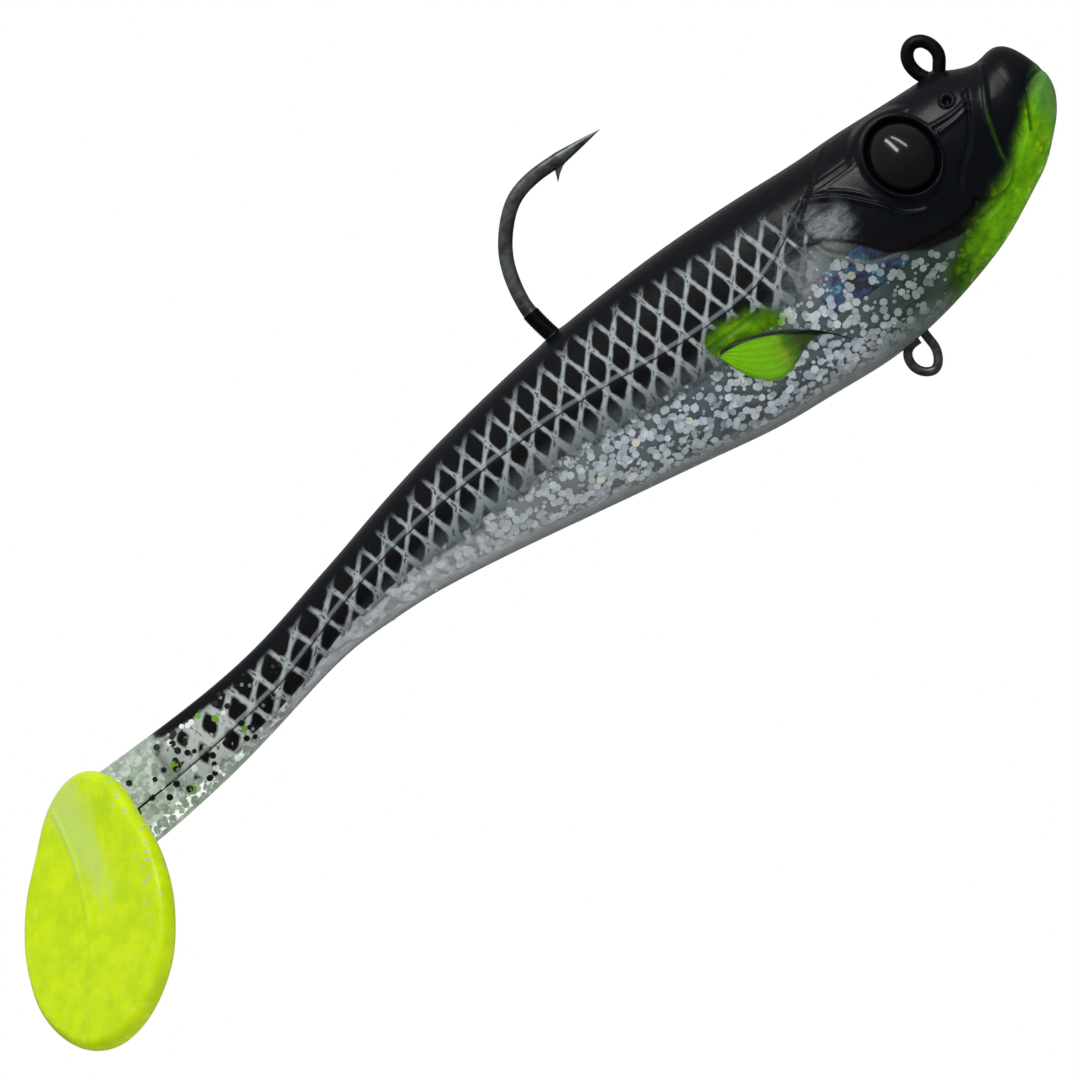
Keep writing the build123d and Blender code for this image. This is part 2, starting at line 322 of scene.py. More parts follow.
# raised covers: outline, height, where it rises, how far it reaches, the groove along it and that groove's shade
for line, height, (low, high), reach, groove, (at, dark, wide) in (
    (GILL, 0.42, (-0.12, 0.22), 2.4, 0.3, (0.22, 0.9, 0.17)),
    (JAW, 0.34, (-0.1, 0.2), 1.8, 0.25, (0.2, 0.7, 0.16)),
):
    d, s = trace(line, X, Z)
    inner = smooth(low, high, s) * np.exp(-np.clip(s, 0, 50) / reach)
    relief += height * np.where(d < 50, inner, 0) - ridge(s + groove, 0.2, 0.2)
    shade += ridge(s + at, dark, wide)
relief += ridge(trace(STRIPE, X, Z)[0], 0.22, 0.26)
for line in BARS:
    relief += ridge(trace(line, X, Z)[0], 0.2, 0.26)
for line in THROAT:
    d, _ = trace(line, X, Z)
    relief += ridge(d, 0.12, 0.18)
    relief -= ridge(d - 0.35, 0.08, 0.18)
d = np.hypot(X - NOSTRIL[0], Z - NOSTRIL[1])
relief += ridge(d - 0.66, 0.2, 0.17) - 0.5 * smooth(0.55, 0.25, d)
# painted shade inside the nostril
shade += smooth(0.55, 0.3, d)
relief *= flank
shade *= flank
d, _ = trace(MOUTH, X, Z)  # runs on round the nose, where it is shallow
relief -= ridge(d, 0.42, 0.26) * np.maximum(flank, 0.22)
# painted shade along the mouth line
shade += ridge(d, 1.0, 0.2) * np.maximum(flank, 0.7)
above = Z - lateral(X)
head_end = smooth(-18, -20.5, X)
relief += head_end * (ridge(above - 0.42, 0.08, 0.28) - ridge(above, 0.1, 0.17)) * flank
crown_side = smooth(0.6, 0.95, skin_normals[..., 2])
relief += crown_side * 0.55 * np.exp(-(((X + 0.3) / 1.3) ** 2) - (Y / 1.3) ** 2)
relief += crown_side * 0.18 * np.exp(-(((X + 51.4) / 1.2) ** 2) - (Y / 1.2) ** 2)
skin = skin + skin_normals * relief[..., None]

# ---- eye sockets
EYE_AT = (-8.7, 4.7, -7.9)
EYE_TILT, EYE_YAW = radians(14), radians(9)
SOCKET = (4.7, 5.4)
DOME = (3.62, 4.12)
GAP_FLOOR, RING_TOP = 0.75, 1.95


def eye_axes(side):
    out = np.array([cos(EYE_TILT) * sin(EYE_YAW), side * cos(EYE_TILT) * cos(EYE_YAW), sin(EYE_TILT)])
    right = np.array([1.0, 0, 0]) - out[0] * out
    right /= np.linalg.norm(right)
    up = np.cross(out, right)
    up *= np.sign(up[2])
    return np.array([EYE_AT[0], side * EYE_AT[1], EYE_AT[2]]), right, up, out


for side in (-1, 1):
    at, right, up, out = eye_axes(side)
    rel = skin - at
    u, v, h = rel @ right, rel @ up, rel @ out
    rho = np.hypot(u / SOCKET[0], v / SOCKET[1])
    rim = GAP_FLOOR + (RING_TOP - GAP_FLOOR) * np.exp(-(((rho - 0.905) / 0.07) ** 2))
    rim = np.where(rho > 0.905, np.maximum(rim, np.minimum(h, RING_TOP)), rim)
    w = smooth(1.3, 1.02, rho) * (side * Y > 0) * (h > -2.5)
    skin = skin + (out * ((rim - h) * w)[..., None])
    # painted shade in the gap between each dome and its socket ring
    shade = np.maximum(shade, 0.8 * ridge(rho - 0.78, 1.0, 0.05) * (w > 0.5))
skin_normals = grid_normals(skin)

# ---- paint masks
# the lower edge of the black airbrush on the head: x, height
BLACK_EDGE = [
    (-27.0, -6.6), (-24.0, -7.4), (-21.0, -8.4), (-18.5, -10.5), (-16.0, -13.6), (-12.0, -15.9), (-8.0, -16.7),
    (-4.0, -16.6), (-1.0, -16.0), (2.0, -14.5), (4.4, -12.7), (6.4, -11.1), (8.8, -9.3), (10.0, -8.6),
]
# the upper edge of the green on the chin, and the middle of the green spray above the fin
GREEN_CHIN = [
    (-13.0, -20.6), (-7.3, -18.4), (-3.8, -17.4), (0.4, -15.6), (3.2, -13.2), (6.4, -10.8), (8.8, -9.0), (10.2, -7.8),
]
GREEN_FIN = [(-37.0, -12.2), (-33.0, -12.7), (-29.6, -14.4), (-27.0, -17.2), (-25.5, -20.0)]
# scale lattice: steep strands fall to the nose, flat strands rise to it
STEEP, STEEP_PITCH = 0.278, 2.65
FLAT, FLAT_PITCH = -0.92, 3.40
NODE = (-48.2, -7.0)
TAIL_STRETCH = 1.18

edge_x = np.array([p[0] for p in BLACK_EDGE])
edge_z = np.array([p[1] for p in BLACK_EDGE])


def paint(x, z):
    """Paint masks at straight-body points: lattice coordinates, net, height, black, green, clear, gill, and a painted
    shade along the belly edge.
    """
    up = z - lateral(x)
    low = -up / np.maximum(lateral(x) - belly(x), 0.5)
    deep = back(x) - z
    stretch = np.where(x < -80, -80 + (x + 80) / (1 + (TAIL_STRETCH - 1) * smooth(-80, -100, x)), x)
    lat_a = (stretch + STEEP * z - NODE[0] - STEEP * NODE[1]) / STEEP_PITCH + 0.5
    lat_b = (stretch + FLAT * z - NODE[0] - FLAT * NODE[1]) / FLAT_PITCH + 0.5
    band = 1.1 + 1.3 * smooth(-48, -30, x)
    net = smooth(band - 0.2, band + 2.6 - 1.3 * smooth(-76, -98, x), deep)
    net = net * smooth(-116, -109, x) * smooth(-19.0, -29.0, x)
    scale = np.clip((lateral(x) - belly(x)) / 9, 0.45, 1)
    net = net * (1 - smooth(2.4, 5.8, -up / scale))
    floor = np.interp(x, edge_x, edge_z)
    head = smooth(-27.5, -22.5, x)
    black_body = smooth(3.2, 0.2, -up / scale)
    black_head = smooth(floor - 1.0, floor + 1.1, z)
    black = black_body * (1 - head) + black_head * head
    tail = smooth(-96, -106, x)
    band_black = smooth(2.2, 0.5, deep) * smooth(-119, -106, x)
    clear_body = smooth(0.4, 3.6, -up / scale)
    clear_head = smooth(floor + 0.6, floor - 3.2, z)
    clear = clear_body * (1 - head) + clear_head * head
    black = black * (1 - tail) + band_black * tail
    chin = np.interp(x, [p[0] for p in GREEN_CHIN], [p[1] for p in GREEN_CHIN]) - z
    green = smooth(-1.9, 1.6, chin * 0.8) * smooth(-21.0, 0.5, x)
    stripe, _ = trace(STRIPE, x, z)
    green = np.maximum(green, 0.42 * np.exp(-((stripe / 0.35) ** 2)) * smooth(-3.5, -10, z))
    fin, _ = trace(GREEN_FIN, x, z, 5.0)
    spray = smooth(3.4, -0.6, fin) * smooth(-25.5, -33, x)
    green = np.maximum(green, 0.64 * spray)
    net = net * (1 - smooth(0.1, 0.7, spray))
    gill = np.exp(-(((x + 19.6) / 3.0) ** 2) - ((z + 8.9) / 2.9) ** 2) * 1.15
    gill = gill * (1 - 0.75 * np.exp(-(((x + 18.6) / 1.2) ** 2) - ((z + 6.8) / 1.0) ** 2)) * smooth(-14.5, -17.5, x)
    gill = np.maximum(gill, 0.92 * np.exp(-(((x + 25.0) / 3.6) ** 2) - ((z + 11.4) / 3.4) ** 2))
    # painted shade: a darker rim along the belly edge, where the clear plastic looks dark
    keel_shade = smooth(0.84, 1.0, low)
    net, black, green, gill = (np.clip(v, 0, 1) for v in (net, black, green, gill))
    return lat_a, lat_b, net, up, black, green, clear, gill, keel_shade


lat_a, lat_b, net, up_, black, green, clear, gill, keel_shade = paint(X, Z)
fields = {
    "flat": flat,
    "net": np.stack([lat_a, lat_b, net], -1),
    "tone": np.stack([up_, black, green], -1),
    # the middle number is the painted shade of the grooves, the nostril, the mouth line and the eye gaps
    "gill_painted_shade_clear": np.stack([gill, np.clip(shade, 0, 1), clear], -1),
    "keel_shade": keel_shade,
}


# ---- node helpers
def linear(r, g, b):
    """An sRGB colour, 0-255, as linear RGBA."""
    c = np.array([r, g, b]) / 255
    return tuple(np.where(c <= 0.04045, c / 12.92, ((c + 0.055) / 1.055) ** 2.4)) + (1.0,)


class Value:
    """A number in a node tree, with arithmetic that adds Math nodes."""

    def __init__(self, shade_, socket):
        self.shade, self.socket = shade_, socket

    def _math(self, operation, *others, clamp=False):
        inputs = dict(enumerate((self, *others)))
        node = self.shade.node("ShaderNodeMath", inputs, operation=operation, use_clamp=clamp)
        return Value(self.shade, node.outputs[0])

    def __add__(self, o):
        return self._math("ADD", o)

    def __sub__(self, o):
        return self._math("SUBTRACT", o)

    def __rsub__(self, o):
        return (self * -1.0) + o

    def __mul__(self, o):
        return self._math("MULTIPLY", o)

    def fract(self):
        return self._math("FRACT")

    def abs(self):
        return self._math("ABSOLUTE")

    def max(self, o):
        return self._math("MAXIMUM", o)

    def smin(self, o, r):
        return self._math("SMOOTH_MIN", o, r)

    def clamp(self):
        return self._math("ADD", 0.0, clamp=True)

    def step(self, low, high):
        """0 below low, 1 above high, smooth between; low may be the larger."""
        start, end = (1.0, 0.0) if low > high else (0.0, 1.0)
        inputs = {"Value": self, "From Min": min(low, high), "From Max": max(low, high), "To Min": start, "To Max": end}
        node = self.shade.node("ShaderNodeMapRange", inputs, interpolation_type="SMOOTHSTEP")
        return Value(self.shade, node.outputs["Result"])


class Tree:
    """A node tree."""

    def __init__(self, tree):
        self.tree = tree

    def node(self, kind, inputs=None, **settings):
        """A new node with its settings, and values or links for its inputs by name or place."""
        node = self.tree.nodes.new(kind)
        for key, v in settings.items():
            setattr(node, key, v)
        for key, v in (inputs or {}).items():
            self.put(node.inputs[key], v)
        return node

    def put(self, socket, v):
        if isinstance(v, Value):
            self.tree.links.new(v.socket, socket)
        elif hasattr(v, "is_output"):
            self.tree.links.new(v, socket)
        else:
            socket.default_value = v


class Shade(Tree):
    """One material with a single Principled shader. Colours of three numbers are sRGB, 0-255."""

    def __init__(self, name, **uniform):
        self.material = bpy.data.materials.new(name)
        self.material.use_nodes = True
        super().__init__(self.material.node_tree)
        self.bsdf = self.tree.nodes["Principled BSDF"]
        for key, v in uniform.items():
            self.bsdf.inputs[key.replace("_", " ")].default_value = v

    def set(self, key, v):
        self.put(self.bsdf.inputs[key], v)

    def field(self, name):
        """A vector field of the mesh, and its three numbers."""
        vector = self.node("ShaderNodeAttribute", attribute_name=name).outputs["Vector"]
        return vector, [Value(self, o) for o in self.node("ShaderNodeSeparateXYZ", {0: vector}).outputs]

    def number(self, name):
        return Value(self, self.node("ShaderNodeAttribute", attribute_name=name).outputs["Fac"])

    def stretch(self, vector, x, y, z):
        return self.node("ShaderNodeVectorMath", {0: vector, 1: (x, y, z)}, operation="MULTIPLY").outputs[0]

    def noise(self, vector, scale, detail=2.0, rough=0.5, distortion=0.0):
        inputs = {"Vector": vector, "Scale": scale, "Detail": detail, "Roughness": rough, "Distortion": distortion}
        return Value(self, self.node("ShaderNodeTexNoise", inputs).outputs["Fac"])

    def dots(self, vector, scale, size, share):
        """Round spots in a share of the cells of a random pattern."""
        node = self.node("ShaderNodeTexVoronoi", {"Vector": vector, "Scale": scale})
        split = self.node("ShaderNodeSeparateXYZ", {0: node.outputs["Color"]})
        disc = Value(self, node.outputs["Distance"]).step(size, size * 0.6)
        return disc * Value(self, split.outputs[0]).step(1 - share, 1.02 - share)

    def mix(self, factor, a, b):
        a, b = (linear(*c) if isinstance(c, tuple) and len(c) == 3 else c for c in (a, b))
        return self.node("ShaderNodeMix", {0: factor, 6: a, 7: b}, data_type="RGBA").outputs[2]

    def layers(self, colour, *coats):
        """A colour under coats of other colours, each (how much it covers, its colour), from the bottom up."""
        for cover, coat in coats:
            colour = self.mix(cover, colour, coat)
        return colour

    def bump(self, height, strength=1.0, distance=MM):
        node = self.node("ShaderNodeBump", {"Height": height, "Strength": strength, "Distance": distance})
        self.set("Normal", node.outputs[0])

    def made(self, colour, rough, *bump):
        """The material, with its colour, roughness and bump."""
        self.set("Base Color", colour)
        self.set("Roughness", rough)
        self.bump(*bump)
        return self.material


# ---- materials
def skin_material():
    m = Shade("bait_skin", Coat_Weight=0.04, Coat_Roughness=0.14, IOR=1.42, Specular_IOR_Level=0.14)
    flat_, (x, _, _) = m.field("flat")
    _, (a, b, net_) = m.field("net")
    _, (up, black_, green_) = m.field("tone")
    _, (gill_, groove, clear_) = m.field("gill_painted_shade_clear")
    keel_shade_ = m.number("keel_shade")
    stipple = m.noise(flat_, 5.5, 3.0, 0.7)
    cloud = m.noise(flat_, 0.55, 3.0, 0.55)
    fuzz = (stipple - 0.5) * 0.22
    head = x.step(-27.0, -22.0)
    tail_ = x.step(-92.0, -108.0)
    # the scale net: strands that wander, thin out to the tail and blur on the belly, open dashes where they cross
    steep = (a.fract() - 0.5).abs() * 2.55 + (m.noise(flat_, 1.1, 1.5) - 0.5) * 0.34
    level = (b.fract() - 0.5).abs() * 2.45 + (m.noise(flat_, 0.8, 0.5) - 0.5) * 0.3
    thin = x.step(-100.0, -116.0) * 0.55
    soft = up.step(-0.8, -4.4) * (1.0 - head)
    line = (steep.smin(level, 0.60) - thin - soft * 0.34 + fuzz * (soft * 1.2 + 0.8)).step(0.35, 0.05)
    dash_noise = m.noise(m.stretch(flat_, 1.0, 1.0, 0.55), 2.6, 0.0)
    near_node = steep.max(level).step(1.0, 0.55)
    dashes = (steep.step(0.10, 0.05)).max(level.step(0.10, 0.05)) * dash_noise.step(0.5, 0.56) * near_node
    line = line * (1.0 - dashes * 0.8)
    net_colour = m.layers(
        m.mix(cloud, (150, 159, 164), (184, 193, 197)),
        (soft * 0.7 * (1.0 - tail_), (128, 138, 142)),
        (tail_ * 0.85, (206, 216, 209)),
    )
    fade = (up + fuzz * 2.0).step(-1.4, -4.6) * (1.0 - head)
    diamond = m.mix(fade, m.mix(cloud, (8, 9, 11), (24, 21, 24)), (94, 102, 105))
    fleck = m.dots(flat_, 1.5, 0.42, 0.4) * x.step(-96.0, -106.0) * x.step(-125.0, -122.0)
    # lateral line: a dark crease under a pale band, from the head to the tail
    reach = x.step(-19.5, -24.0) * x.step(-123.0, -119.0)
    pale = (up - 0.34).abs().step(0.34, 0.10) * reach * 0.55
    crease = (up + 0.02).abs().step(0.15, 0.06) * reach * (m.noise(flat_, 1.1, 1.0).step(0.3, 0.45) * 0.5 + 0.5)
    # dorsal black, and the grey smear on the gill cover
    cover = (1.0 - net_) * (black_ + fuzz * 1.2).step(0.3, 0.75)
    radial = m.noise(m.stretch(flat_, 0.55, 1.0, 1.5), 1.3, 3.0, 0.7, 0.5)
    patch = (gill_ * (radial * 1.9 - 0.1) + fuzz * 1.2).step(0.1, 1.25)
    # the clear plastic, tinted in the throat and the stem
    painted = ((1.0 - line) * net_).max(cover).max(crease * 0.6)
    see = (clear_ + fuzz * 1.1).step(0.08, 0.85).max(x.step(-96.0, -106.0) * (1.0 - painted))
    plastic = m.layers(
        (243, 248, 250),
        (tail_, m.mix(cloud.step(0.35, 0.65), (206, 222, 208), (230, 241, 230))),
        (x.step(-27.0, -16.0), (186, 202, 192)),
    )
    ghost = net_.step(0.3, 0.95)
    # green of the chin and above the fin
    streak = m.noise(m.stretch(flat_, 0.35, 1.0, 1.2), 1.5, 3.0, 0.6)
    green_mix = (green_ + (cloud - 0.5) * 0.3 + fuzz * 0.9).step(0.08, 0.95)
    chartreuse = m.layers(
        m.mix(streak * 0.5 + cloud.step(0.35, 0.65) * 0.5, (78, 156, 2), (152, 226, 12)),
        ((green_ + (stipple - 0.5) * 0.6).step(0.9, 0.25) * head * 0.85, (44, 84, 10)),
        (m.dots(flat_, 0.85, 0.42, 0.35) * green_ * 0.8, (196, 224, 20)),
        (x.step(5.5, 9.5) * 0.7, (96, 146, 92)),
    )
    body = m.layers(
        diamond,
        (line * net_.step(0.0, 0.35), net_colour),
        (fleck * 0.75, (178, 190, 182)),
        (pale * (1.0 - net_ * 0.25), net_colour),
        (crease * 0.9, (30, 32, 32)),
        (cover, m.mix(cloud, (8, 9, 11), (15, 20, 26))),
        (see.step(0.78, 1.0) * ghost.step(0.2, 0.0) * (line * net_).step(0.2, 0.0), plastic),
        (patch * 0.9, m.mix(stipple, (112, 120, 122), (172, 181, 182))),
        # painted shade: a darker, less clear rim along the belly edge
        (keel_shade_ * see * (1.0 - tail_) * 0.8, (74, 90, 86)),
        (green_mix.max(see * green_mix.step(0.02, 0.3)), chartreuse),
        # painted shade: dark in the grooves, the nostril, the mouth line and the eye gaps
        (groove * 0.7, (14, 15, 15)),
    )
    solid = see.step(0.72, 0.3).max(ghost * 0.55).max(line * net_ * 0.8).max(patch * 0.7).max(fleck * 0.5)
    # the painted shade in the grooves and along the belly edge also makes the skin less clear
    opaque = solid.max(green_mix * 0.8).max(groove * 0.8).max(keel_shade_ * (1.0 - tail_) * 0.5)
    milk = (tail_ * 0.44).max(x.step(-42.0, -82.0) * 0.3) + 0.02
    m.set("Transmission Weight", ((1.0 - opaque) * (1.0 - milk)).clamp())
    rough = (stipple * 0.10 + 0.22 + line * net_ * 0.10 - see * 0.19).clamp()
    emboss = line * net_ * 0.035 + (m.noise(flat_, 0.9, 2.0) - 0.5) * 0.05 + stipple * 0.008
    return m.made(body, rough, emboss, 0.6)


def flake_material():
    m = Shade("glitter_silver", Metallic=0.15, Coat_Weight=0.2)
    glint = m.noise(m.field("spot")[0], 2.0, 1.0)
    return m.made(m.field("hue")[0], glint * 0.25 + 0.22, glint, 0.25, MM * 0.1)


def core_material():
    """The dark inner body behind the flakes: painted shade for the dim inside of the clear plastic, with the plastic's
    milky grey, darker in the throat.
    """
    m = Shade("inner_murk_and_shade", IOR=1.42, Coat_Weight=0.1)
    flat_, (x, _, _) = m.field("flat")
    cloud = m.noise(flat_, 0.5, 4.0, 0.6)
    grain = m.noise(flat_, 3.0, 3.0, 0.65)
    colour = m.layers(
        m.mix(cloud, (76, 88, 94), (118, 131, 137)),
        (grain.step(0.5, 0.8) * 0.5, (124, 134, 138)),
        (x.step(-24.0, -14.0), m.mix(cloud, (40, 50, 50), (80, 94, 90))),
    )
    return m.made(colour, grain * 0.2 + 0.4, grain * 0.06 + cloud * 0.1, 0.5)


def foil_material():
    m = Shade("holo_foil_creased", Metallic=0.75, Coat_Weight=0.2)
    flat_, _ = m.field("flat")
    wave = m.noise(m.stretch(flat_, 1.0, 1.0, 1.8), 0.55, 3.0, 0.6, 0.6)
    fine = m.noise(flat_, 2.2, 2.0)
    colour = m.layers(
        m.mix(wave.step(0.38, 0.5), (28, 24, 50), (62, 60, 122)),
        (wave.step(0.5, 0.6), (40, 100, 126)),
        (wave.step(0.62, 0.7), (150, 190, 210)),
    )
    return m.made(colour, fine * 0.3 + 0.2, wave * 0.3 + fine * 0.06, 0.7)


def paddle_material():
    m = Shade("chartreuse_plastisol", Coat_Weight=0.05, Coat_Roughness=0.25, IOR=1.42, Specular_IOR_Level=0.35)
    place, (x, y, _) = m.field("flat")  # across, up and out of the paddle
    pale, rim_, clear_ = (m.number(key) for key in ("pale", "rim", "clear"))
    cloud = m.noise(place, 0.34, 4.0, 0.6).step(0.3, 0.7)
    grain = m.noise(place, 4.5, 3.0, 0.7)
    fan = m.noise(m.stretch(place, 2.6, 0.28, 1.0), 1.0, 3.0, 0.65, 0.7)
    silver = m.dots(place, 1.2, 0.4, 0.3) * rim_.step(0.5, 0.9) * x.step(1.0, 5.0) * y.step(-16.0, -8.0)
    colour = m.layers(
        m.mix(cloud, (198, 236, 0), (222, 250, 0)),
        ((pale + (fan - 0.5) * 1.7).step(0.3, 1.1) * 0.75, (204, 232, 118)),
        (m.dots(place, 0.8, 0.36, 0.6) * rim_ * 0.6, (230, 244, 70)),
        (silver * 0.8, (196, 206, 190)),
        ((clear_ + (grain - 0.5) * 0.35).step(0.3, 0.9), (206, 226, 190)),
    )
    m.set("Transmission Weight", (clear_.step(0.45, 1.0) * 0.6).clamp())
    return m.made(colour, grain * 0.12 + 0.30, fan * 0.12 + grain * 0.02 + m.noise(place, 0.8, 2.0) * 0.06, 0.5)


def fin_material():
    m = Shade("green_plastisol", Coat_Weight=0.08, Coat_Roughness=0.15, IOR=1.42, Specular_IOR_Level=0.3)
    flat_, (x, _, z) = m.field("flat")
    rays = m.noise(m.stretch(flat_, 0.28, 1.0, 2.4), 1.5, 3.0, 0.6)
    cloud = m.noise(flat_, 0.6, 2.0)
    grain = m.noise(flat_, 5.0, 2.0)
    gold = m.noise(flat_, 0.8, 0.0).step(0.58, 0.68) * x.step(-34.0, -29.0)
    root = (x - z * 0.25 - 4.0 + (cloud - 0.5) * 2.0).step(-33.5, -29.0)
    colour = m.layers(
        m.mix(rays, (96, 178, 0), (146, 214, 4)),
        (gold * 0.8, (206, 220, 60)),
        (root * 0.92, (30, 50, 30)),
        (m.number("edge"), (16, 26, 12)),
    )
    return m.made(colour, grain * 0.12 + 0.24, rays * 0.12 + grain * 0.02, 0.6)


def metal_material(name, dark, light, rough, scratch=1.0):
    m = Shade(name, Metallic=0.9)
    place = m.node("ShaderNodeTexCoord").outputs["Object"]
    fine = m.noise(m.stretch(place, 600.0, 2600.0, 1400.0), 1.0, 4.0, 0.65)
    patch = m.noise(place, 420.0, 3.0, 0.6)
    colour = m.mix((fine * 0.5 + patch * 0.6).step(0.35, 0.8), dark, light)
    return m.made(colour, fine * 0.2 * scratch + patch * 0.12 + rough, fine * 0.02 + patch * 0.02, 0.4 * scratch)


def eye_material():
    m = Shade("eye_gloss_black", Coat_Weight=0.15, Coat_Roughness=0.03, IOR=1.45, Specular_IOR_Level=0.2)
    deep = m.noise(m.node("ShaderNodeTexCoord").outputs["Object"], 300.0, 3.0, 0.5)
    return m.made(m.mix(deep, (7, 8, 10), (20, 22, 25)), deep * 0.05 + 0.09, deep, 0.03, MM * 0.05)


skin_mat = skin_material()
core_mat = core_material()
silver_mat = flake_material()
paddle_mat = paddle_material()
fin_mat = fin_material()
foil_mat = foil_material()
hook_mat = metal_material("black_nickel", (66, 70, 68), (134, 140, 134), 0.26)
tie_mat = metal_material("painted_wire", (18, 19, 21), (34, 36, 39), 0.34, 0.6)
eye_mat = eye_material()
lead_mat = metal_material("cast_lead", (70, 72, 74), (116, 118, 120), 0.45)


def flex(piece):
    """Bakes the placement of a soft piece into its mesh."""
    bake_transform(piece)


# ---- skin pieces
cuts = [0, *(int(np.argmin(abs(stations - x))) for x in (SPLIT_1, SPLIT_2)), len(stations) - 1]
for zone, name, stand, slot in (
    (1, "skin_front", "trunk_body", "back_plastisol"),
    (2, "skin_rear", "rear_body", "back_plastisol"),
    (3, "skin_stem", "tail_stem", "clear_plastisol"),
):
    i, j = cuts[zone - 1 : zone + 1]
    part = skin[i : j + 1].reshape(-1, 3)
    part_normals = skin_normals[i : j + 1].reshape(-1, 3)
    part_fields = {k: v[i : j + 1].reshape(-1, *v.shape[2:]) for k, v in fields.items()}
    faces = grid_faces(j - i + 1, ROUND)
    if zone == 1:
        tip = np.array([[NOSE_X, 0, NOSE_Z]])
        faces += [(len(part), (k + 1) % ROUND, k) for k in range(ROUND)]
        part = np.concatenate([part, tip])
        part_normals = np.concatenate([part_normals, [[1.0, 0, 0]]])
        part_fields = {k: np.concatenate([v, v[:ROUND].mean(0, keepdims=True)]) for k, v in part_fields.items()}
    piece = make_piece(name, part, faces, skin_mat, part_fields, part_normals, slot)
    flex(piece)
    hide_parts(stand)

# ---- inner body, painted shade inside the clear plastic
CORE_INSET = 1.15
CORE_FRONT, CORE_END, CORE_STEP = 5.0, -97.0, 0.7
core_front = np.arange(CORE_FRONT, SPLIT_1, -CORE_STEP)
core_x = np.concatenate([core_front, [SPLIT_1], np.arange(SPLIT_1 - CORE_STEP, CORE_END, -CORE_STEP)])
core_close = smooth(CORE_FRONT, 1.0, core_x) * smooth(CORE_END, -88.0, core_x)
ring_x = core_x[:, None]
mid, tall, wide = girth(ring_x)
closing = np.sqrt(np.clip(core_close[:, None], 0.0004, 1))
core_y = (wide - CORE_INSET) * closing * np.sin(turn)
core_z = mid + (tall - CORE_INSET) * closing * np.cos(turn)
core = np.stack([ring_x + 0 * turn, core_y, core_z], -1)[:, ::2]
core_normals = grid_normals(core)
core_cut = int(np.argmin(abs(core_x - SPLIT_1)))
ring = core.shape[1]
for zone, name, i, j in ((1, "inner_shade_front", 0, core_cut), (2, "inner_shade_rear", core_cut, len(core_x) - 1)):
    part = core[i : j + 1].reshape(-1, 3)
    part_normals = core_normals[i : j + 1].reshape(-1, 3)
    cap = range(ring)[::-1] if zone == 1 else range((j - i) * ring, (j - i + 1) * ring)
    faces = grid_faces(j - i + 1, ring) + [tuple(cap)]
    piece = make_piece(name, part, faces, core_mat, {"flat": part}, part_normals, "back_plastisol")
    flex(piece)


# ---- glitter
FLAKE_THICKNESS, WILD = 0.05, 0.22
ZONES = {1: (12.0, SPLIT_1), 2: (SPLIT_1, SPLIT_2), 3: (SPLIT_2, -140.0)}  # x from the nose to the tail


def flake_batch(x, angle, depth, size, hues, wild):
    """Hexagonal flakes at stations x, round the girth at angle, a depth under the skin: points, faces, fields."""
    count = len(x)
    c, h, w = girth(x)
    h, w = h - depth, np.maximum(w - depth, 0.05)
    z = c + h * np.cos(angle)
    y = w * np.sin(angle)
    flat_ = np.stack([x, y, z], -1)
    at = bend(x, y, z)
    ny, nz = np.sin(angle) / w, np.cos(angle) / h
    a = np.minimum(np.maximum(BEND_X - x, 0) / BEND_R, KICK)
    grow_w = (half_width(x + 0.4) - half_width(x - 0.4)) / 0.8 * np.sin(angle)
    nx = -(ny * grow_w + nz * (girth_z(x + 0.4, angle) - girth_z(x - 0.4, angle)) / 0.8)
    n = np.stack([np.cos(a) * nx - np.sin(a) * ny, np.sin(a) * nx + np.cos(a) * ny, nz], -1)
    n = n / np.linalg.norm(n, axis=1, keepdims=True) + rng.normal(0, wild, (count, 3))
    n /= np.linalg.norm(n, axis=1, keepdims=True)
    e1 = np.cross(n, rng.normal(0, 1, (count, 3)))
    e1 /= np.linalg.norm(e1, axis=1, keepdims=True)
    e2 = np.cross(n, e1)
    corner = np.arange(6) * pi / 3
    rim = (np.cos(corner)[:, None, None] * e1 + np.sin(corner)[:, None, None] * e2) * (size / 2)[:, None]
    thick = n * FLAKE_THICKNESS / 2
    points = np.concatenate([at + rim + thick, at + rim - thick]).transpose(1, 0, 2).reshape(-1, 3)
    side_faces = [(k, (k + 1) % 6, 6 + (k + 1) % 6, 6 + k) for k in range(6)]
    shape = [(0, 1, 2, 3, 4, 5), (11, 10, 9, 8, 7, 6)] + [f[::-1] for f in side_faces]
    faces = [tuple(12 * i + k for k in f) for i in range(count) for f in shape]
    hue = np.repeat(np.asarray(hues)[:, :3], 12, 0)
    return points, faces, {"hue": hue, "spot": np.repeat(flat_, 12, 0)}


def scatter(name, pick, wild=WILD):
    """Flake pieces, one for each flex zone that the flakes fall in. wild is how far the flakes tip."""
    x = pick[0]
    for zone, (high, low) in ZONES.items():
        keep = (x <= high) & (x > low)
        if not keep.any():
            continue
        points, faces, named = flake_batch(*(v[keep] for v in pick), wild)
        piece = make_piece(f"{name}_{zone}", points, faces, silver_mat, named, slot="holo_foil")
        piece.data.shade_flat()
        flex(piece)


SILVERS = [(228, 234, 240), (216, 223, 232), (190, 198, 203), (244, 236, 214)]
SHARE = 0.9  # how high they climb, 1 at the lateral line


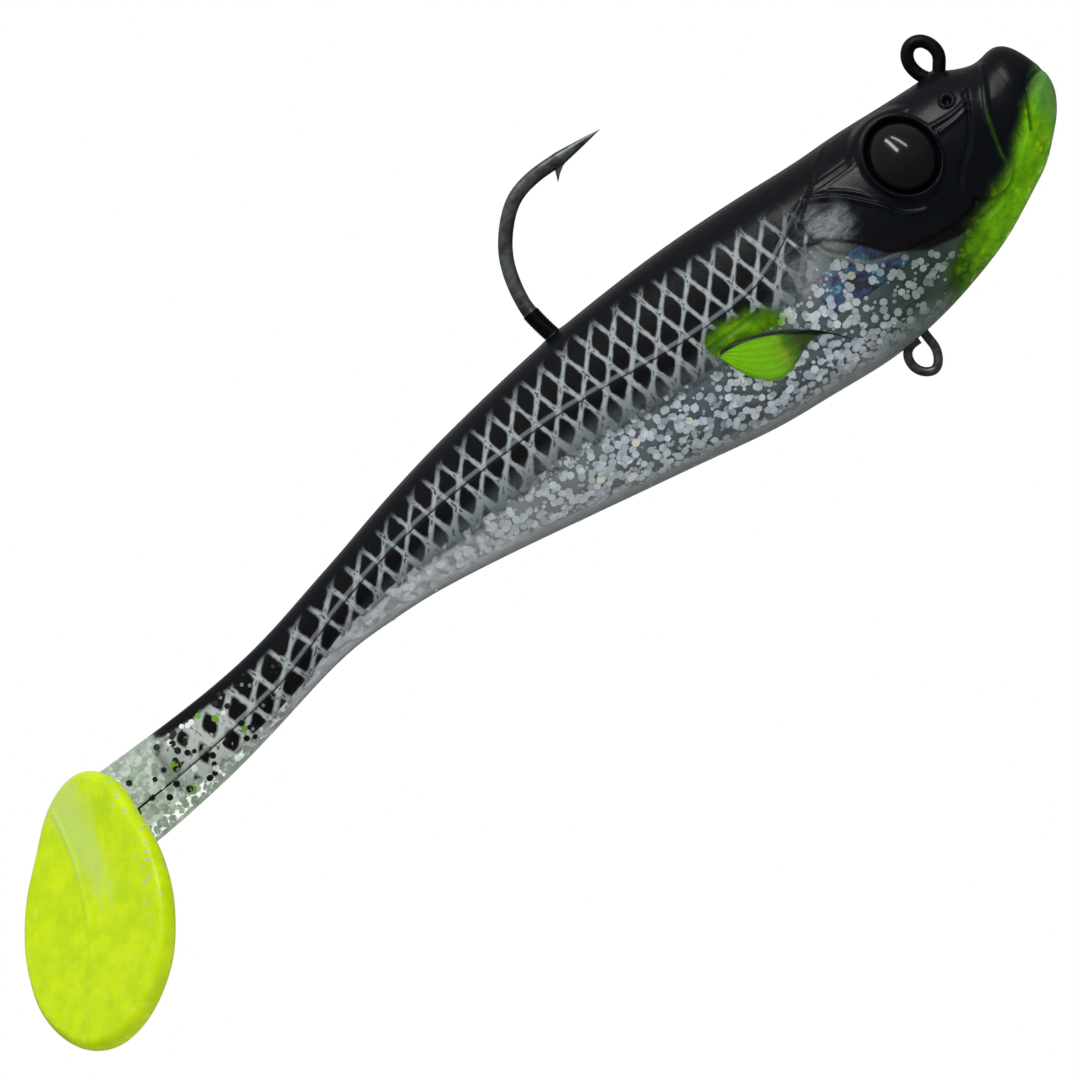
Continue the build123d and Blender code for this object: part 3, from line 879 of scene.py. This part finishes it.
def belly_flakes(count, depths, sizes, weights):
    """Flakes over the lower flanks and the belly."""
    x = rng.uniform(-99, 7, 6 * count)
    angle = rng.uniform(0, 2 * pi, 6 * count)
    z = girth_z(x, angle)
    # 0 at the lateral line, or at the edge of the black on the head, and 1 at the belly
    floor = np.interp(x, edge_x, edge_z)
    line_z = lateral(x) - np.clip((lateral(x) - belly(x)) / 9, 0.45, 1)
    low_body = (line_z - z) / np.maximum(line_z - belly(x), 0.5)
    low_head = (floor - 0.3 - z) / np.maximum(floor - belly(x), 1.0) * 0.8
    low = np.where(x > -25, low_head, low_body)
    chance = smooth(1 - SHARE, 1 - SHARE + 0.22, low) * smooth(4.0, -2.0, x)
    thin = 0.45 + 0.55 * smooth(-14, -24, x) * smooth(-96, -70, x)
    keep = rng.uniform(0, 1, len(x)) < chance * thin
    x, angle = x[keep][:count], angle[keep][:count]
    n = len(x)
    hues = np.array([linear(*p) for p in SILVERS])[rng.choice(len(SILVERS), n, p=weights)]
    hues = hues * rng.uniform(0.82, 1.12, (n, 1))
    return x, angle, rng.uniform(*depths, n), rng.uniform(*sizes, n), np.clip(hues, 0, 1)


for word, count, depths, sizes, weights in (
    ("large", 2500, (0.2, 0.8), (0.86, 1.06), [0.5, 0.28, 0.18, 0.04]),
    ("small", 2200, (0.2, 1.0), (0.3, 0.55), [0.3, 0.3, 0.36, 0.04]),
):
    scatter(f"glitter_{word}", belly_flakes(count, depths, sizes, weights))

DARKS = [(10, 12, 12), (206, 214, 220), (116, 176, 20), (244, 246, 242)]


def stem_flakes(count, sizes, weights, x_range, depths, off_edge=0.0):
    """Flakes on both sides of the tail stem, off_edge radians clear of its thin upper and lower edges."""
    x = rng.uniform(*x_range, count)
    angle = rng.uniform(off_edge, pi - off_edge, count) * rng.choice([-1, 1], count)
    hues = np.array([linear(*p) for p in DARKS])[rng.choice(len(DARKS), count, p=weights)]
    return x, angle, rng.uniform(*depths, count), rng.uniform(*sizes, count), hues


for word, wild, spec in (
    ("large", WILD, (360, (0.75, 1.0), [0.24, 0.52, 0.08, 0.16], (-127, -100), (0.25, 1.1))),
    ("outer", 0.03, (120, (0.6, 0.9), [0.66, 0.04, 0.1, 0.2], (-125, -104), (0.0, 0.01), 0.75)),
    ("small", WILD, (620, (0.25, 0.5), [0.28, 0.48, 0.1, 0.14], (-127, -94), (0.2, 1.3))),
):
    scatter(f"stem_glitter_{word}", stem_flakes(*spec), wild)

# ---- foils
FOIL_GRID, FOIL_INSET, FOIL_THICKNESS = (45, 25), 1.0, 0.06
for side, word in ((-1, "right"), (1, "left")):
    low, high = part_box(f"foil_{word}")
    fx = np.linspace(low.x, high.x, FOIL_GRID[0]) / MM
    fz = np.linspace(low.z, high.z, FOIL_GRID[1]) / MM
    gx, gz = np.meshgrid(fx, fz, indexing="ij")
    cx, cz = (fx[0] + fx[-1]) / 2, (fz[0] + fz[-1]) / 2
    su, sv = (gx - cx) / (fx[-1] - fx[0]) * 2, (gz - cz) / (fz[-1] - fz[0]) * 2
    gx = cx + su * np.sqrt(1 - 0.18 * sv**2) * (fx[-1] - fx[0]) / 2
    gz = cz + sv * np.sqrt(1 - 0.18 * su**2) * (fz[-1] - fz[0]) / 2
    mid, tall, wide = girth(gx)
    crinkle = 0.06 * np.sin(gx * 2.3 + gz * 1.1) + 0.05 * np.sin(gx * 0.9 - gz * 2.7)
    gy = (wide - FOIL_INSET) * np.sqrt(1 - ((gz - mid) / (tall - FOIL_INSET)) ** 2) + crinkle
    outer, inner = (np.stack([gx, side * y, gz], -1).reshape(-1, 3) for y in (gy, gy - FOIL_THICKNESS))
    points, faces = closed_sheet(outer, inner, *FOIL_GRID, side > 0)
    foil = make_piece(f"foil_sheet_{word}", points, faces, foil_mat, {"flat": points}, slot="holo_foil")
    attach(foil, "trunk")
    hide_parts(f"foil_{word}")

# ---- pectoral fins
# upper and lower edge, from the trailing tip to the root
FIN_TOP = [
    (-38.0, -13.1), (-36.4, -13.05), (-34.8, -13.3), (-32.4, -14.2), (-30.5, -15.2), (-28.6, -16.5), (-26.9, -18.0),
    (-24.9, -20.4),
]
FIN_LOW = [
    (-38.1, -13.3), (-37.6, -15.0), (-36.6, -17.1), (-35.0, -19.0), (-32.6, -19.6), (-29.8, -18.4), (-27.2, -18.25),
    (-24.9, -20.6),
]


FIN_GRID = (70, 44)
fin_s, fin_t = np.meshgrid(np.linspace(0, 1, FIN_GRID[0]), np.linspace(0, 1, FIN_GRID[1]), indexing="ij")
knot = np.arange(len(FIN_TOP)) / (len(FIN_TOP) - 1)
fin_x, fin_z = (
    natural_spline(knot, [p[k] for p in FIN_TOP])(fin_s) * (1 - fin_t)
    + natural_spline(knot, [p[k] for p in FIN_LOW])(fin_s) * fin_t
    for k in (0, 1)
)
rim_in = smooth(0, 0.10, fin_t) * smooth(1.0, 0.88, fin_t) * smooth(0, 0.03, fin_s)
body_in = 1 - 0.85 * smooth(0.35, 0.95, fin_s)
rays = 0.035 * np.sin(fin_t * 42 + fin_s * 4)
fin_wide = np.hypot(fin_x[:, -1:] - fin_x[:, :1], fin_z[:, -1:] - fin_z[:, :1])
fin_line = smooth(0.72, 0.5, fin_t * fin_wide) * smooth(0.01, 0.06, fin_s)
fin_height = -0.25 + rim_in * (0.25 + (0.62 - 0.34 * fin_t) * body_in + rays * body_in)
mid, tall, wide = girth(fin_x)
skin_y = wide * np.sqrt(np.clip(1 - ((fin_z - mid) / tall) ** 2, 0, 1))
for side, word in ((-1, "right"), (1, "left")):
    front, backing = (
        np.stack([fin_x, side * y, fin_z], -1).reshape(-1, 3) for y in (skin_y + fin_height, skin_y - 0.3)
    )
    both, faces = closed_sheet(front, backing, *FIN_GRID, side < 0)
    edge = np.concatenate([fin_line.ravel()] * 2)
    piece = make_piece(f"fin_{word}", both, faces, fin_mat, {"flat": both, "edge": edge}, slot="green_plastisol")
    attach(piece, "trunk")
    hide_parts(f"pectoral_fin_{word}")

# ---- eyes
EYE_ROUND = 128
for side, word in ((-1, "right"), (1, "left")):
    at, right, up, out = eye_axes(side)
    lift = np.linspace(0.05, pi / 2 - 0.01, 30)
    rise = np.concatenate([[0.0, 0.5, 1.0, 1.2], 1.32 + 1.75 * np.sin(lift)])
    shrink = np.concatenate([[1.0, 1.0, 1.0, 0.995], np.cos(lift) ** 0.96])
    around = np.arange(EYE_ROUND) * 2 * pi / EYE_ROUND * -side
    ring_points = (
        at
        + (DOME[0] * np.cos(around)[None, :, None] * shrink[:, None, None]) * right
        + (DOME[1] * np.sin(around)[None, :, None] * shrink[:, None, None]) * up
        + rise[:, None, None] * out
    )
    points = ring_points.reshape(-1, 3)
    faces = grid_faces(len(rise), EYE_ROUND)
    faces.append(tuple(range(len(points) - EYE_ROUND, len(points))))
    faces.append(tuple(range(EYE_ROUND - 1, -1, -1)))
    piece = make_piece(f"eye_dome_{word}", points, faces, eye_mat, slot="eye_gloss")
    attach(piece, "trunk")
    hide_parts(f"eye_{word}")


# ---- wires
def wire(path, radius, flatten=1.0):
    """A swept wire in the plane y = const. Its radius may vary, and so may flatten, its scale across the plane."""
    count, section = len(path), 24
    radius = np.broadcast_to(radius, count).astype(float)
    wide = np.broadcast_to(flatten, count).astype(float)
    run = np.gradient(path, axis=0)
    run /= np.linalg.norm(run, axis=1, keepdims=True)
    side_ = np.array([0, 1.0, 0]) - run * run[:, 1:2]
    side_ /= np.linalg.norm(side_, axis=1, keepdims=True)
    out = np.cross(run, side_)
    a = np.arange(section) * 2 * pi / section
    ca, sa = np.cos(a), np.sin(a)
    # squared off a little where the wire is forged
    power = 1 - 0.38 * np.clip(1 - wide, 0, 1)[:, None] * 3
    ca_ = np.sign(ca) * abs(ca) ** power
    sa_ = np.sign(sa) * abs(sa) ** power
    spoke = ca_[..., None] * out[:, None] + (sa_ * wide[:, None])[..., None] * side_[:, None]
    points = path[:, None] + radius[:, None, None] * spoke
    faces = grid_faces(count, section)
    faces += [tuple(range(section - 1, -1, -1)), tuple(range(count * section - section, count * section))]
    return points.reshape(-1, 3), faces


def smooth_path(knots, count):
    knots = np.array(knots, float)
    k = np.arange(len(knots))
    t = np.linspace(0, len(knots) - 1, 400)
    dense = np.stack([natural_spline(k, knots[:, i])(t) for i in range(3)], -1)
    run = np.concatenate([[0], np.cumsum(np.linalg.norm(np.diff(dense, axis=0), axis=1))])
    even = np.linspace(0, run[-1], count)
    return np.stack([np.interp(even, run, dense[:, i]) for i in range(3)], -1)


# the eye of the hook, a drawn-out loop whose end lies against the neck
TIE = [
    (-0.55, 0, -3.6), (-0.6, 0, -2.6), (-1.25, 0, -1.5), (-1.62, 0, -0.2), (-1.45, 0, 1.0), (-0.75, 0, 1.85),
    (0.15, 0, 2.05), (1.05, 0, 1.6), (1.62, 0, 0.55), (1.62, 0, -0.6), (1.05, 0, -1.55), (0.35, 0, -2.35),
    (0.05, 0, -3.0), (0.0, 0, -6.0),
]
tie_path = smooth_path([(x, 0, z - 0.05) for x, _, z in TIE], 150)
tie = make_piece("line_tie_wire", *wire(tie_path, 0.75), tie_mat, slot="black_nickel")
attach(tie, "trunk")

HOOK = [
    (-46.0, 0, -6.4), (-49.6, 0, -5.2), (-50.9, 0, -2.6), (-51.45, 0, -0.3), (-51.9, 0, 2.4), (-51.85, 0, 4.6),
    (-51.3, 0, 7.2), (-50.2, 0, 9.8), (-48.4, 0, 12.1), (-46.4, 0, 13.75), (-44.3, 0, 14.55), (-42.0, 0, 14.8),
    (-39.9, 0, 14.75), (-37.0, 0, 14.72), (-33.7, 0, 14.72),
]
POINT_LENGTH = 5.6
hook_path = smooth_path(HOOK, 260)
to_tip = hook_path[:, 0] - HOOK[-1][0]
on_top = hook_path[:, 2] > 12
taper = np.where(on_top, np.clip(-to_tip / POINT_LENGTH, 0.02, 1) ** 0.85, 1)
forge = smooth(1.5, 4.5, hook_path[:, 2])  # the bend is forged flat, the shank is round
hook_radius = (0.92 - 0.1 * forge) * taper
hook_points, hook_faces = wire(hook_path, hook_radius, 1 - 0.18 * forge)
BARB = [
    (-40.95, 12.62), (-40.2, 13.3), (-39.35, 13.85), (-38.2, 14.15), (-36.6, 14.35), (-38.2, 14.75), (-40.05, 14.6),
    (-40.35, 14.1),
]
barb_half = [0.02, 0.16, 0.3, 0.34, 0.2, 0.3, 0.34, 0.26]
barb_ring = np.array([[x, s * w, z] for s in (-1, 1) for (x, z), w in zip(BARB, barb_half)])
first = len(hook_points)
nb = len(BARB)
barb_faces = [tuple(range(first, first + nb)), tuple(range(first + 2 * nb - 1, first + nb - 1, -1))]
for k in range(nb):
    k2 = (k + 1) % nb
    barb_faces.append((first + k, first + nb + k, first + nb + k2, first + k2))
hook_points = np.concatenate([hook_points, barb_ring])
hook_piece = make_piece("hook_wire", hook_points, hook_faces + barb_faces, hook_mat, slot="black_nickel")
hook_piece.data.set_sharp_from_angle(angle=radians(40))
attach(hook_piece, "trunk")
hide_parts("hook")

# thread bound round the hook where it leaves the back
BIND_TURNS, BIND_R, THREAD_R = 18, 0.93, 0.09
wrap_z = np.linspace(-0.6, 2.7, BIND_TURNS * 24)
centre_x = np.interp(wrap_z, hook_path[20:110, 2], hook_path[20:110, 0])
spin = np.linspace(0, BIND_TURNS * 2 * pi, len(wrap_z))
wrap_path = np.stack([centre_x + BIND_R * np.cos(spin), BIND_R * np.sin(spin), wrap_z], -1)
run = np.gradient(wrap_path, axis=0)
run /= np.linalg.norm(run, axis=1, keepdims=True)
outward = np.stack([np.cos(spin), np.sin(spin), 0 * spin], -1)
up_ring = np.cross(run, outward)
a = np.arange(8) * 2 * pi / 8
spoke = np.cos(a)[:, None] * outward[:, None] + np.sin(a)[:, None] * up_ring[:, None]
wrap_points = (wrap_path[:, None] + THREAD_R * spoke).reshape(-1, 3)
wrap_faces = grid_faces(len(wrap_path), 8)
wrap = make_piece("hook_binding", wrap_points, wrap_faces, tie_mat, slot="black_nickel")
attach(wrap, "trunk")

RING = [
    (-17.8, 0, -20.5), (-17.8, 0, -23.0), (-17.8, 0, -25.4), (-17.8, 0, -26.9), (-18.4, 0, -28.2), (-19.4, 0, -28.74),
    (-20.5, 0, -28.1), (-21.0, 0, -26.9), (-20.75, 0, -25.7), (-19.9, 0, -25.05), (-18.7, 0, -25.0),
]
ring_path = smooth_path(RING, 120)
belly_piece = make_piece("belly_ring_wire", *wire(ring_path, 0.53), hook_mat, slot="black_nickel")
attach(belly_piece, "trunk")
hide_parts("belly_ring")

# ---- paddle
SLANT, TWIST = radians(35), radians(11)
NECK = 7.6
THICK = 2.6
OUTLINE_AT = 1.55
# half width of the paddle by distance below the neck
SIDE = [
    (0.0, -7.1), (4.9, -4.4), (7.4, 0.4), (9.4, 5.0), (10.45, 10.5), (10.2, 15.0), (8.9, 19.4), (5.2, 23.9),
    (0.0, 25.8),
]
PARTING = [(-4.2, 5.0), (-2.4, -0.5), (-1.3, -5.5), (-0.7, -10.5), (-0.9, -15.5), (-2.4, -24.0)]
p_out = HEADING * cos(SLANT) + np.array([0, 0, sin(SLANT)])
p_down = HEADING * sin(SLANT) - np.array([0, 0, cos(SLANT)])
p_across = ACROSS * cos(TWIST) + p_down * sin(TWIST)
p_up = np.cross(p_out, p_across)
p_at = np.array([KICK_X, 0, WRIST_Z]) + HEADING * NECK


def outline_radius(angle):
    """Distance from the neck to the paddle's edge in each direction of its plane."""
    loop = [(x, -y) for x, y in SIDE] + [(-x, -y) for x, y in SIDE[-2:0:-1]]
    loop = loop + loop[:1]
    knots = np.array([loop[-4], loop[-3], loop[-2]] + loop + loop[1:4], float)
    k = np.arange(len(knots))
    t = np.linspace(3, len(knots) - 4, 2400)
    lx, ly = natural_spline(k, knots[:, 0])(t), natural_spline(k, knots[:, 1])(t)
    a_ = np.arctan2(ly, lx)
    order_ = np.argsort(a_)
    return np.interp(angle, a_[order_], np.hypot(lx, ly)[order_], period=2 * pi)


last = skin[-1]  # the wrist ring: top first, then the +Y side
theta = np.arctan2(np.cos(turn), -np.sin(turn))  # the same order in the paddle plane
edge_r = outline_radius(theta)
direction = np.cos(theta)[:, None] * p_across + np.sin(theta)[:, None] * p_up
centre = p_at + OUTLINE_AT * p_across
foot = np.hypot(2.3 * np.cos(theta), 6.4 * np.sin(theta))
foot_r = np.minimum(foot + 2.4, edge_r - 1.15)
rows, row_clear = [last], [1 + 0 * theta]
# concave fairing from the wrist to the front face
start, end_ = last, centre + foot_r[:, None] * direction
gap = np.linalg.norm(end_ - start, axis=1)[:, None]
h1 = start + HEADING * gap * 0.42
h2 = end_ - direction * gap * 0.30
for t in np.linspace(0, 1, 16)[1:]:
    p = (1 - t) ** 3 * start + 3 * (1 - t) ** 2 * t * h1 + 3 * (1 - t) * t * t * h2 + t**3 * end_
    rows.append(p)
    row_clear.append((1 - smooth(0.0, 0.7, t)) + 0 * theta)
RIM_R = THICK / 2


def paddle_row(radius_, out_):
    return centre + radius_[:, None] * direction + (out_ + 0 * theta)[:, None] * p_out


for t in np.linspace(0, 1, 26)[1:]:
    rows.append(paddle_row(foot_r + (edge_r - RIM_R * 0.9 - foot_r) * t, 0.0 - 0.12 * sin(pi * t)))
for a_ in np.linspace(-pi / 2, pi / 2, 15)[1:-1]:
    rows.append(paddle_row(edge_r - RIM_R * 0.9 * (1 - cos(a_)), RIM_R + RIM_R * sin(a_)))
for t in np.linspace(1, 0.012, 60):
    radius_ = (edge_r - RIM_R * 0.9) * t
    row = paddle_row(radius_, THICK - 0.4 * (1 - smooth(0.1, 1.0, t)))
    seam, _ = trace(PARTING, (row - centre) @ p_across, (row - centre) @ p_up, 2.0)
    rows.append(row + (0.11 * np.exp(-((seam / 0.3) ** 2)) * smooth(1.0, 0.85, t))[:, None] * p_out)
paddle_grid = np.array(rows)
paddle_normals = grid_normals(paddle_grid)
rel = paddle_grid - centre
place = np.stack([rel @ p_across, rel @ p_up, rel @ p_out], -1)
pu, pv = place[..., 0], place[..., 1]
sweep, _ = trace([(-3.0, 6.5), (-0.6, 0.0), (1.4, -6.0), (2.8, -12.0)], pu, pv, 8.0)
pale = np.exp(-((sweep / 2.6) ** 2)) * smooth(-17.0, -3.0, pv) + 0.35 * smooth(-2.0, 6.0, pv)
parting, _ = trace(PARTING, pu, pv, 2.0)
pale = pale + 0.5 * np.exp(-((parting / 0.22) ** 2))
reach_ = np.hypot(pu, pv) / np.maximum(edge_r[None], 1)
rim_mask = smooth(0.45, 0.9, reach_)
clear_mask = np.zeros(pu.shape)
clear_mask[: len(row_clear)] = row_clear
points = paddle_grid.reshape(-1, 3)
pole = centre + (THICK - 0.4) * p_out
faces = grid_faces(len(rows), ROUND)
first = (len(rows) - 1) * ROUND
faces += [(first + k, first + (k + 1) % ROUND, len(points)) for k in range(ROUND)]
points = np.concatenate([points, [pole]])
paddle = make_piece(
    "paddle", points, faces, paddle_mat,
    {
        "flat": np.concatenate([place.reshape(-1, 3), [[0, 0, THICK]]]),
        "pale": np.append(pale.ravel(), 0.8),
        "rim": np.append(rim_mask.ravel(), 0),
        "clear": np.append(clear_mask.ravel(), 0),
    },
    np.concatenate([paddle_normals.reshape(-1, 3), [p_out]]), "chartreuse_plastisol",
)
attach(paddle, "paddle")
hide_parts("tail_paddle")

# ---- carried-over nodes
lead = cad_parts["lead_weight"]
for s in lead.material_slots:
    s.material = lead_mat

# ---- floor, lights, camera
FLOOR_Z = -0.15
FLOOR_R = 0.35
floor_mesh = bpy.data.meshes.new("floor")
ring = [(cos(a) * FLOOR_R - 0.066, sin(a) * FLOOR_R, FLOOR_Z) for a in np.linspace(0, 2 * pi, 97)[:-1]]
floor_mesh.from_pydata(ring, [], [tuple(range(96))])
floor_shade = Shade("floor_pale", Roughness=0.7)
floor_place = floor_shade.node("ShaderNodeTexCoord").outputs["Object"]
floor_noise = floor_shade.noise(floor_place, 9.0)
floor_shade.set("Base Color", floor_shade.mix(floor_noise, (0.86, 0.86, 0.86, 1), (0.9, 0.9, 0.9, 1)))
floor_mesh.materials.append(floor_shade.material)
floor = bpy.data.objects.new("floor", floor_mesh)
bpy.context.scene.collection.objects.link(floor)
floor.visible_glossy = False
floor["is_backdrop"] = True

# the sky brightens upwards; seen straight or through the clear plastic it is plain white
SKY_LOW, SKY_HIGH = 0.14, 0.5
scene = bpy.context.scene
scene.view_settings.view_transform = "Standard"
world = bpy.data.worlds.new("studio")
scene.world = world
world.use_nodes = True
studio = Tree(world.node_tree)
ray = studio.node("ShaderNodeLightPath").outputs
inputs = {0: ray["Is Camera Ray"], 1: ray["Is Transmission Ray"]}
seen = studio.node("ShaderNodeMath", inputs, operation="MAXIMUM").outputs[0]
sky_place = studio.node("ShaderNodeTexCoord").outputs["Generated"]
sky_z = studio.node("ShaderNodeSeparateXYZ", {0: sky_place}).outputs["Z"]
inputs = {"Value": sky_z, "From Min": -0.1, "From Max": 0.95, "To Min": SKY_LOW, "To Max": SKY_HIGH}
sky = studio.node("ShaderNodeMapRange", inputs, interpolation_type="SMOOTHSTEP").outputs["Result"]
background = studio.tree.nodes["Background"]
studio.put(background.inputs["Strength"], studio.node("ShaderNodeMix", {0: seen, 2: sky, 3: 1.0}).outputs[0])
background.inputs["Color"].default_value = (1, 1, 1, 1)


def area_light(name, at, aim, size, power, glossy=True, colour=(1, 1, 1)):
    data = bpy.data.lights.new(name, "AREA")
    data.shape = "RECTANGLE"
    data.size, data.size_y = size
    data.energy = power
    data.color = colour
    lamp = bpy.data.objects.new(name, data)
    lamp.location = at
    lamp.rotation_euler = (Vector(aim) - Vector(at)).to_track_quat("-Z", "Y").to_euler()
    lamp.visible_glossy = glossy
    scene.collection.objects.link(lamp)


MIDDLE = (-0.066, 0, -0.011)
area_light("key_front", (0.10, -0.42, 0.46), MIDDLE, (0.05, 0.34), 1.35)
area_light("key_second", (0.24, -0.38, 0.42), MIDDLE, (0.035, 0.30), 0.7)
area_light("left_front", (-0.42, -0.42, 0.42), (-0.10, -0.01, -0.02), (0.5, 0.5), 1.0, glossy=False)
area_light("back_fill", (-0.05, 0.6, 0.35), MIDDLE, (0.5, 0.4), 1.5, glossy=False)
area_light("back_edge", (-0.04, 0.5, 0.38), MIDDLE, (0.4, 0.08), 0.05, colour=(0.8, 0.9, 1.0))

ROLL = radians(36)
FRAME_SPAN = 0.12
camera_data = bpy.data.cameras.new("camera")
camera_data.lens = 500
camera_data.sensor_width = 36
camera = bpy.data.objects.new("camera", camera_data)
scene.collection.objects.link(camera)
distance = FRAME_SPAN * camera_data.lens / camera_data.sensor_width
view_at = Vector((-65.9 * MM, -distance, -18.3 * MM))
axes = Matrix(((cos(ROLL), sin(ROLL), 0), (0, 0, -1), (-sin(ROLL), cos(ROLL), 0)))
camera.matrix_world = Matrix.Translation(view_at) @ axes.to_4x4()
scene.camera = camera

visual_low, visual_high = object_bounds()
sizes = {
    "cad": [list(cad_low), list(cad_high)],
    "visual": [list(visual_low), list(visual_high)],
}
